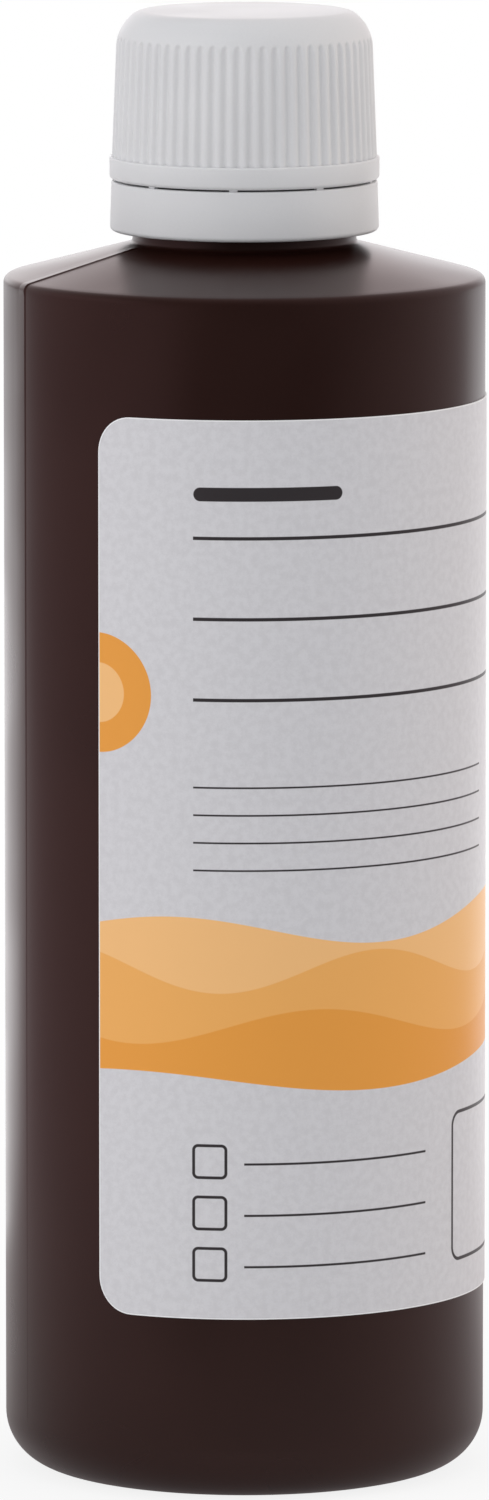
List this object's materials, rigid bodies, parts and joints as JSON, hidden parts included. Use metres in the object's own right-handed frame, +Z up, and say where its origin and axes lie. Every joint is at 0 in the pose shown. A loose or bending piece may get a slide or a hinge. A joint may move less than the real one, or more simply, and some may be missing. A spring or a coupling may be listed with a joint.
{
  "type": "screw-cap bottle",
  "caption": "Round brown plastic bottle with a sloping shoulder, a wraparound label, a ribbed white screw cap and a tamper-evident ring, for a light-sensitive antiseptic.",
  "frame": {"origin": "middle of the ring that the bottle stands on, on its axis", "axes": "+Z up along the bottle's axis; the two mould parting lines lie on +X and -X; the bare strip beside the label lies at -X and -Y is the front"},
  "size_m": [0.0422, 0.0422, 0.128],
  "materials": {
    "brown_plastic": "satin blow-moulded HDPE",
    "label_paper": "smooth printed label stock",
    "white_plastic": "satin injection-moulded polypropylene",
    "liner_foam": "closed-cell polyethylene foam"
  },
  "bodies": {
    "bottle": {"bottle": "brown_plastic", "label": "label_paper"},
    "ring": {"tamper_ring": "white_plastic", "ring_bridges": "white_plastic"},
    "liner": {"cap_liner": "liner_foam"},
    "cap": {"cap": "white_plastic"}
  },
  "joints": [
    {"name": "cap_rise", "type": "slide", "parent": "bottle", "child": "liner", "axis": [0, 0, 1], "range_m": [0, 0.0191]},
    {"name": "cap_turn", "type": "hinge", "parent": "liner", "child": "cap", "pos_m": [0, 0, 0.1208], "axis": [0, 0, 1], "range_deg": [0, 2160]},
    {"name": "ring_turn", "type": "hinge", "parent": "bottle", "child": "ring", "pos_m": [0, 0, 0.111], "axis": [0, 0, 1], "continuous": true}
  ],
  "couplings": [
    {"joint": "cap_rise", "follows": "cap_turn", "m_per_rad": 0.00050532}
  ]
}
